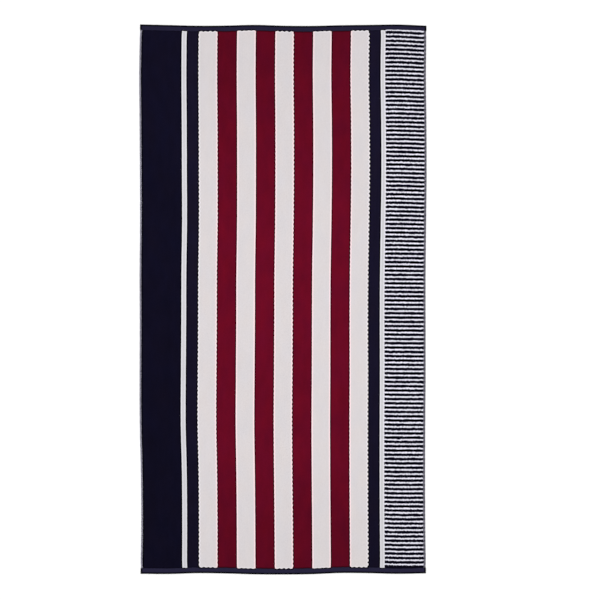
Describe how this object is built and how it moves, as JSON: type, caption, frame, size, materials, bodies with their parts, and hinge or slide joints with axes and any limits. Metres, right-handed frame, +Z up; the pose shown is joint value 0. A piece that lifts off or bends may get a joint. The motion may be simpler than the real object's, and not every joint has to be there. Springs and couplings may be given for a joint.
{
  "type": "beach towel",
  "caption": "Flat rectangular velour beach towel with lengthwise stripes, a ladder-striped border, turned end hems and plain selvedges.",
  "frame": {"origin": "on the flat underside, at the middle of the towel's outline", "axes": "+X across the towel towards the ladder-striped border, +Y along its length, +Z up out of the face side"},
  "size_m": [0.8646, 1.655, 0.0032],
  "materials": {
    "white_pile": "matt sheared cotton pile",
    "red_pile": "matt sheared cotton pile",
    "navy_pile": "matt sheared cotton pile",
    "navy_hem": "plain woven cotton, matt",
    "grey_selvedge": "plain woven navy and white cotton, matt",
    "navy_thread": "spun polyester sewing thread"
  },
  "bodies": {
    "root": {"beach_towel": "white_pile"}
  },
  "joints": []
}
